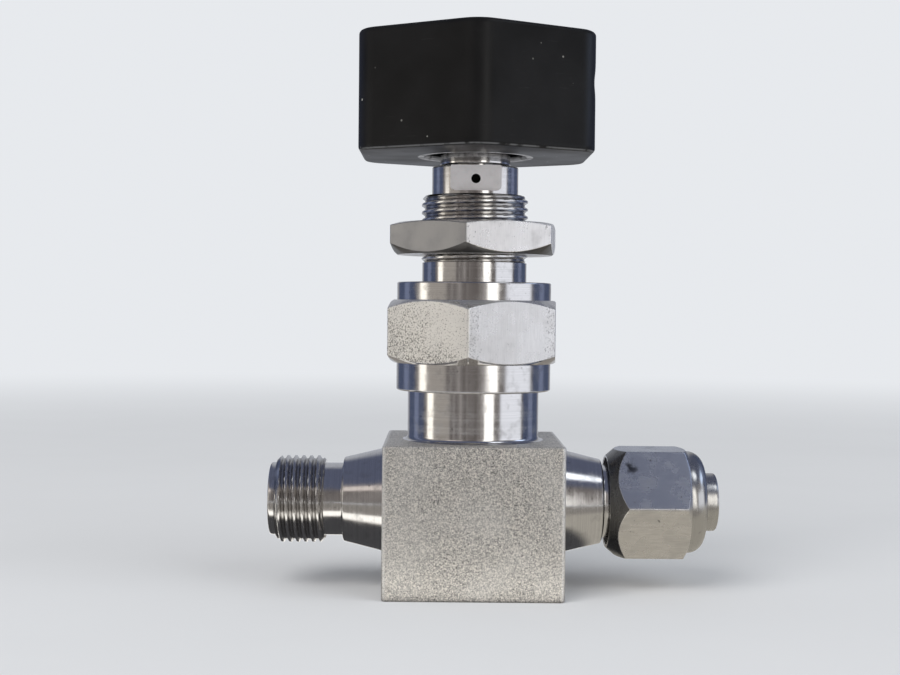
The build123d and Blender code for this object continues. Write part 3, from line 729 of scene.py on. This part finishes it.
class VALVE_OT_stem(bpy.types.Operator):
    """Actuator with its polished sleeve, and the welded bellows round the plunger"""

    bl_idname = "valve.make_stem"
    bl_label = "Actuator and bellows"

    def execute(self, context):
        sizes, tones = context.scene.valve_sizes, context.scene.valve_colours
        angles = round_angles(sizes.round_columns)
        cup, shank, sleeve, bottom, painted_shade_top, sleeve_low, top = 2.55, 4.0, 5.77, 53.5, 67.8, 69.35, 85.2
        section = [(cup, 60.45, 0), (cup, bottom, 0.2), (shank, bottom, 0.2), (shank, painted_shade_top, 0)]
        section += [(shank, sleeve_low, 0), (sleeve, sleeve_low, 0.25), (sleeve, top, 0.3), (2.0, top, 0)]
        section = profile(section)
        rings = turned(section, angles)
        # Painted shade: the shank below the sleeve, seen through the leak-test hole, takes the near-black hole finish
        paint = (section[:, 0] < shank + 0.1) & (section[:, 1] < painted_shade_top - 0.1)
        piece = solid("steel_actuator", shell(rings, paint=paint.astype(int)))
        finishes = [turned_steel("sleeve_bright", tones.turned, gloss=0.09), painted_hole_shade()]
        dress(piece, finishes, "handle", "turned_steel", "actuator")
        # The bellows: radius alternates between inner and outer weld, with a straight cuff at each end
        convolutions, low, high, inner, outer, cuff, half_wall = 8, 25.84, 41.68, 4.8, 6.7, 1.5, 0.1
        fold = np.arange(2 * convolutions + 1)
        middle = np.column_stack([np.where(fold % 2 == 0, inner, outer), np.linspace(low, high, len(fold))])
        line = np.concatenate([[[inner, low - cuff]], middle, [[inner, high + cuff]]])
        section = np.concatenate([line + (half_wall, 0.0), (line - (half_wall, 0.0))[::-1]])
        bellows = solid("welded_bellows", shell(turned(section, round_angles(96)), "loop"))
        finish = inner_finish("bellows_spring", RECORD_COLOURS["spring_steel"], 1.0, 0.24, 2.0)
        dress(bellows, [finish], "root", "spring_steel", "bellows")
        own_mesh(bellows)
        return {"FINISHED"}


class VALVE_OT_knob(bpy.types.Operator):
    """Knob: a rounded hexagon with a recess, a socket and the set screw's hole"""

    bl_idname = "valve.make_knob"
    bl_label = "Knob"

    def execute(self, context):
        sizes, tones = context.scene.valve_sizes, context.scene.valve_colours
        plan, normal, angles = polygon(6, sizes.knob_hexagon / MM, 5.0, -math.pi / 2, 14, 16)
        bottom, top, rim, socket, recess, recess_top = 70.8, 90.0, 0.7, 5.8, 8.2, 76.2
        inside = [(socket, 85.22, 0), (socket, recess_top, 0.2), (recess, recess_top, 0.2)]
        inside += [(recess, bottom + 0.35, 0), (recess + 0.35, bottom, 0), (recess + 0.8, bottom, 0)]
        walls = [level(plan, z) for z in np.linspace(bottom + 1, top - 1, 24)]
        outside = [rim_rows(plan, normal, rim, bottom, 1), *walls, rim_rows(plan, normal, rim, top, -1)]
        outside += [level((plan - normal * 1.1) * share, top) for share in (1.0, 0.5)]
        outside = np.concatenate(outside)
        # A shallow knock in the right-hand flat, near the top
        gap = outside - np.array([18.85, -6.5, 82.0])
        push = 0.4 * np.exp(-(gap[..., :1] / 2.0) ** 2 - (gap[..., 1:2] / 2.6) ** 2 - (gap[..., 2:] / 1.5) ** 2)
        outside[..., :2] -= normal[None] * push
        rings = np.concatenate([turned(profile(inside), angles), outside])
        piece = solid("black_knob", shell(rings))
        # The set screw's hole runs out from the axis, at the back
        screw_radius, screw_height, way = 2.05, 80.4, math.radians(60)
        bore = turned([(screw_radius, 4.0), (screw_radius, 24.0)], round_angles(40))
        across, up, out = bore[..., 0], bore[..., 1], bore[..., 2]
        x = out * math.cos(way) - across * math.sin(way)
        y = out * math.sin(way) + across * math.cos(way)
        cut(piece, [shell(np.stack([x, y, up + screw_height], axis=-1))])
        dress(piece, [knob_black(tones.knob, bottom)], "handle", "knob_black", "knob")
        return {"FINISHED"}


class VALVE_OT_right_port(bpy.types.Operator):
    """Tube nut and the plug that it holds, on the right-hand port"""

    bl_idname = "valve.make_right_port"
    bl_label = "Tube nut and plug"

    def execute(self, context):
        sizes, tones = context.scene.valve_sizes, context.scene.valve_colours
        across, axis = sizes.tube_hexagon / MM, sizes.port_height / MM
        plan, normal, angles = polygon(6, across, 0.3, math.pi)
        face, corner, bore, back_rim, start, shoulder = 0.98 * across / 2, across / math.sqrt(3), 7.19, 7.6, 22.1, 35.2
        nose_radius, end, tube, ferrule, ferrule_low, ferrule_high = 8.4, 38.1, 4.82, 5.95, 33.3, 36.02
        back = profile([(bore, 30.0, 0), (bore, start, 0.1), (back_rim, start, 0)])
        back_slope = 2.8 / (corner - back_rim)
        wall = hexagon_rows(plan, normal, start, shoulder, back_rim, face, back_slope, CHAMFER)
        nose = [(face, shoulder, 0), (nose_radius, shoulder, 0), (nose_radius, end, 2.6), (tube, end, 0.12)]
        nose += [(tube, ferrule_high, 0), (ferrule, ferrule_high, 0), (ferrule, ferrule_low, 0), (bore, ferrule_low, 0)]
        rings, paints = stacked([turned(back, angles), wall, turned(profile(nose, 10), angles)], (0, 0, 1))
        # The band between the bore's rim and the hexagon is the long cone at the back, darkened as painted shade
        paints[len(back) - 1] = 2
        rings = along_x(rings, axis, 1)
        piece = solid("steel_tube_nut", shell(rings, "loop", paints))
        finishes = [
            fitting_satin(tones.fitting, axis),
            turned_steel("nose_bright", shade(tones.fitting, 0.85), height=axis, gloss=0.20),
            # Painted shade: the long cone at the back is a quarter of the fitting's tone
            turned_steel("nut_back_painted_shade", shade(tones.fitting, 0.25), height=axis, gloss=0.25),
        ]
        dress(piece, finishes, "root", "fitting_steel", "tube_nut")
        plug_radius, inner, outer = 4.7625, 24.82, 40.2
        ends = profile([(4.0, inner, 0), (plug_radius, inner, 0.2), (plug_radius, outer, 0.4), (2.0, outer, 0)])
        rings = along_x(turned(ends, round_angles(96)), axis, 1)
        plug = solid("steel_port_plug", shell(rings))
        finish = turned_steel("plug_bright", shade(tones.fitting, 0.85), height=axis, gloss=0.22)
        dress(plug, [finish], "root", "fitting_steel", "port_plug")
        return {"FINISHED"}


class VALVE_OT_inner_finishes(bpy.types.Operator):
    """Finishes for the inner CAD pieces that keep their shape"""

    bl_idname = "valve.finish_inner"
    bl_label = "Inner finishes"

    def execute(self, context):
        # For each slot: metal, roughness, grain to a millimetre, and the nodes
        steel_nodes = ["bellows_flange", "stem_tip", "plunger", "bush_pin", "front_ferrule", "back_ferrule"]
        kinds = {
            "turned_steel": (1.0, 0.22, 3.0, steel_nodes),
            "soft_steel": (1.0, 0.35, 4.0, ["body_gasket"]),
            "hard_steel": (1.0, 0.12, 2.0, ["thrust_ball", "coupling_pins"]),
            "bronze": (1.0, 0.28, 3.0, ["guide_bush", "stem_nut"]),
            "seat_plastic": (0.0, 0.45, 2.0, ["seat_disc", "wiper_ring"]),
            "black_steel": (0.8, 0.38, 5.0, ["set_screw"]),
        }
        for slot, (*look, names) in kinds.items():
            finish = inner_finish(f"inner_{slot}", RECORD_COLOURS[slot], *look)
            for name in names:
                for holder in frame["nodes"][name].material_slots:
                    holder.material = finish
        return {"FINISHED"}


# Stage

def room_walls():
    """What the bright metal mirrors: a dim room with upright light strips, told apart by direction.
    Angle 0 is the camera's side and grows to the right, in degrees."""
    f = Finish("room_walls", "ShaderNodeEmission")
    degrees = 360 / TURN
    angle = f.x.math("ARCTAN2", f.x, f.y * -1.0) * degrees
    lift = f.z.math("ARCTAN2", f.z, from_axis(f)) * degrees
    wide = abs(angle)
    # Dim wall with soft upright folds, then from the left a grey panel, a window, a lamp strip and a wide pale panel
    ripple = f.noise(1.0, 2.0, f.spot(angle * 0.11, 0.0, lift * 0.004))
    tone = f.tint(f.rise(ripple, 0.40, 0.66), (0.13, 0.115, 0.11), (0.36, 0.335, 0.325))
    tone = f.tint(stripe(f, angle, -74.0, -42.0, 4.0), tone, (0.40, 0.37, 0.34))
    low = 1.0 - f.rise(lift, 20.2, 21.4) * 0.75
    tone = f.tint(stripe(f, angle, -86.0, -73.0, 1.5) * low, tone, (1.7, 1.62, 1.48))
    tone = f.tint(stripe(f, angle, 18.0, 34.0, 1.5), tone, (2.0, 1.96, 1.9))
    tone = f.tint(stripe(f, angle, 46.0, 90.0, 3.0) * (1.0 - f.rise(lift, 22.6, 24.4) * 0.85), tone, (1.02, 1.05, 1.14))
    # The far sides are dark, with one less dark strip
    side = f.tint(stripe(f, wide, 110.0, 124.0, 3.0), (0.08, 0.10, 0.17), (0.20, 0.235, 0.36))
    tone = f.tint(stripe(f, wide, 94.0, 150.0, 4.0), tone, side)
    # High up: a strip that only the knob mirrors, the dark ceiling, two patches that the cones mirror, and the back
    knob_line = stripe(f, angle, 82.0, 106.0, 3.0) * stripe(f, lift, 25.0, 40.0, 1.5)
    tone = f.tint(knob_line, tone, (1.2, 1.45, 1.95))
    tone = f.tint(f.rise(lift, 30.0, 44.0), tone, (0.11, 0.125, 0.19))
    pale_patch = stripe(f, angle, -48.0, -22.0, 3.0) * stripe(f, lift, 27.0, 36.0, 1.5)
    tone = f.tint(pale_patch, tone, (0.90, 0.81, 0.76))
    high_strip = stripe(f, angle, 42.0, 68.0, 3.0) * stripe(f, lift, 50.0, 66.0, 2.0)
    tone = f.tint(high_strip, tone, (1.9, 2.0, 2.15))
    tone = f.tint(f.rise(wide, 144.0, 164.0) * (1.0 - f.rise(lift, 50.0, 70.0)), tone, (0.46, 0.48, 0.53))
    f.feed("Color", tone)
    return f.finished()


def dark_mat():
    """What the metal mirrors below it: a dim floor, a bright line before and behind, a warm patch by the tube nut."""
    f = Finish("dark_mat", "ShaderNodeEmission")
    reach = abs(f.y)
    tone = f.tint(stripe(f, reach, -2.0, 14.5, 1.5), (0.30, 0.28, 0.26), (0.07, 0.07, 0.075))
    tone = f.tint(stripe(f, reach, 16.0, 26.0, 1.5), tone, (1.55, 1.51, 1.43))
    right = f.rise(f.x, 20.0, 23.0) * (1.0 - f.rise(reach, 26.0, 40.0))
    tone = f.tint(right, tone, (0.46, 0.435, 0.385))
    f.feed("Color", f.tint(f.rise(from_axis(f), 110.0, 200.0), tone, (0.70, 0.72, 0.75)))
    return f.finished()


def floor_finish(tone, backdrop):
    """Pale floor that takes the shadow near the valve and turns into the backdrop's own light far away."""
    f = Finish("pale_floor", Roughness=0.9, Specular_IOR_Level=0.0)
    far = f.rise(from_axis(f), 180.0, 750.0)
    grain = f.noise(0.02, 3.0)
    f.feed("Base Color", f.tint(f.rise(grain, 0.3, 0.7), tone, shade(tone, 0.985)))
    glow = f.node("ShaderNodeEmission", values={"Color": (*backdrop, 1.0), "Strength": 1.0})
    return f.finished(f.node("ShaderNodeMixShader", values={0: far, 1: f.surface, 2: glow}))


def lamp(name, energy, size, at, aim, tint):
    """A soft square lamp, placed in metres, that points from at to aim and isn't mirrored as a shape."""
    data = bpy.data.lights.new(name, "AREA")
    data.energy, data.size, data.color = energy, size, tint
    light = bpy.data.objects.new(name, data)
    light.location = at
    away = np.array(at, float) - np.array(aim, float)
    light.rotation_euler = (math.acos(away[2] / np.linalg.norm(away)), 0.0, math.atan2(away[1], away[0]) + math.pi / 2)
    light.visible_glossy = False
    bpy.context.scene.collection.objects.link(light)


def pale_backdrop(tone):
    """The world: at full strength where it is seen, mirrored or seen through, and dimmer where it lights the valve."""
    world = bpy.data.worlds.new("pale_backdrop")
    nodes = Nodes(world)
    dim = nodes.node("ShaderNodeBackground", values={"Color": (*tone, 1.0), "Strength": 0.55})
    full = nodes.node("ShaderNodeBackground", values={"Color": (*tone, 1.0), "Strength": 1.0})
    seen = nodes.node("ShaderNodeLightPath", out="Is Camera Ray")
    for ray in ("Is Glossy Ray", "Is Transmission Ray"):
        seen = seen.math("MAXIMUM", seen, nodes.node("ShaderNodeLightPath", out=ray))
    shown = nodes.node("ShaderNodeMixShader", values={0: seen, 1: dim, 2: full})
    nodes.node("ShaderNodeOutputWorld", values={"Surface": shown})
    return world


def photo_camera():
    """The camera at the photo's angle. Its axes are a level frame turned by yaw, tilted down by pitch, then rolled."""
    pitch, yaw, roll = (math.radians(a) for a in (1.362, -0.269, 0.552))
    right = np.array([math.cos(yaw), math.sin(yaw), 0.0])
    level_ahead = np.array([-math.sin(yaw), math.cos(yaw), 0.0])
    ahead = level_ahead * math.cos(pitch) - np.array([0.0, 0.0, math.sin(pitch)])
    up = level_ahead * math.sin(pitch) + np.array([0.0, 0.0, math.cos(pitch)])
    turn = np.eye(4)
    turn[:3, 0] = right * math.cos(roll) + up * math.sin(roll)
    turn[:3, 1] = up * math.cos(roll) - right * math.sin(roll)
    turn[:3, 2] = -ahead
    turn[:3, 3] = np.array([-5.052, -242.52, 46.858]) * MM
    data = bpy.data.cameras.new("photo_camera")
    data.lens, data.sensor_width, data.sensor_fit = 58.66, 36.0, "HORIZONTAL"
    data.clip_start, data.clip_end = 0.01, 20.0
    camera = bpy.data.objects.new("photo_camera", data)
    camera.matrix_world = Matrix(turn.tolist())
    bpy.context.scene.collection.objects.link(camera)
    return camera


class VALVE_OT_stage(bpy.types.Operator):
    """Floor, mirrored room, lamps, backdrop light and the camera at the photo's angle"""

    bl_idname = "valve.make_stage"
    bl_label = "Stage"

    def execute(self, context):
        scene, tones = context.scene, context.scene.valve_colours
        scene.view_settings.view_transform = "Standard"
        angles, floor_radius, room_radius = round_angles(96), 3000.0, 230.0
        slab = turned([(floor_radius, -2.0), (floor_radius, 0.0)], angles)
        floor = solid("stage_floor", shell(slab))
        floor.data.materials.append(floor_finish(tones.floor, tones.backdrop))
        # The room is near, because rays that the necks mirror slope down and would meet the floor before a far wall
        dome = turned(room_radius * direction(np.radians(np.linspace(0.1, 89.0, 24))), angles)
        room = solid("stage_room", shell(dome, "open"))
        room.data.materials.append(room_walls())
        disc = turned([(room_radius, 0.05), (room_radius, 0.15)], angles)
        mat = solid("stage_mat", shell(disc))
        mat.data.materials.append(dark_mat())
        for card in (room, mat):
            card.visible_camera = card.visible_diffuse = card.visible_shadow = card.visible_transmission = False
        lamp("key_lamp", 9.0, 0.9, (-0.55, -0.75, 0.95), (0, 0, 0.04), (1.0, 0.98, 0.95))
        lamp("fill_lamp", 4.0, 0.9, (0.8, -0.5, 0.6), (0, 0, 0.04), (0.95, 0.98, 1.0))
        scene.world = pale_backdrop(tones.backdrop)
        scene.camera = photo_camera()
        return {"FINISHED"}


class VALVE_PT_panel(bpy.types.Panel):
    """Sizes, colours and one button for each piece"""

    bl_idname = "VALVE_PT_panel"
    bl_label = "Shut-off valve"
    bl_space_type = "VIEW_3D"
    bl_region_type = "UI"
    bl_category = "Valve"

    def draw(self, context):
        column = self.layout.column()
        for group in (context.scene.valve_sizes, context.scene.valve_colours):
            for name in group.__annotations__:
                column.prop(group, name)
        for one in OPERATORS:
            column.operator(one.bl_idname)


OPERATORS = (
    VALVE_OT_body,
    VALVE_OT_union_nut,
    VALVE_OT_bonnet,
    VALVE_OT_panel_nut,
    VALVE_OT_stem,
    VALVE_OT_knob,
    VALVE_OT_right_port,
    VALVE_OT_inner_finishes,
    VALVE_OT_stage,
)
CLASSES = (ValveSizes, ValveColours, *OPERATORS, VALVE_PT_panel)


def register():
    """Adds the classes and the two groups of settings."""
    for one in CLASSES:
        bpy.utils.register_class(one)
    bpy.types.Scene.valve_sizes = PointerProperty(type=ValveSizes)
    bpy.types.Scene.valve_colours = PointerProperty(type=ValveColours)


def unregister():
    """Takes them away again."""
    del bpy.types.Scene.valve_colours
    del bpy.types.Scene.valve_sizes
    for one in reversed(CLASSES):
        bpy.utils.unregister_class(one)


def main():
    """Registers the add-on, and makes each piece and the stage."""
    register()
    bpy.ops.valve.make_body()
    bpy.ops.valve.make_union_nut()
    bpy.ops.valve.make_bonnet()
    bpy.ops.valve.make_panel_nut()
    bpy.ops.valve.make_stem()
    bpy.ops.valve.make_knob()
    bpy.ops.valve.make_right_port()
    bpy.ops.valve.finish_inner()
    bpy.ops.valve.make_stage()


if __name__ == "__main__":
    main()
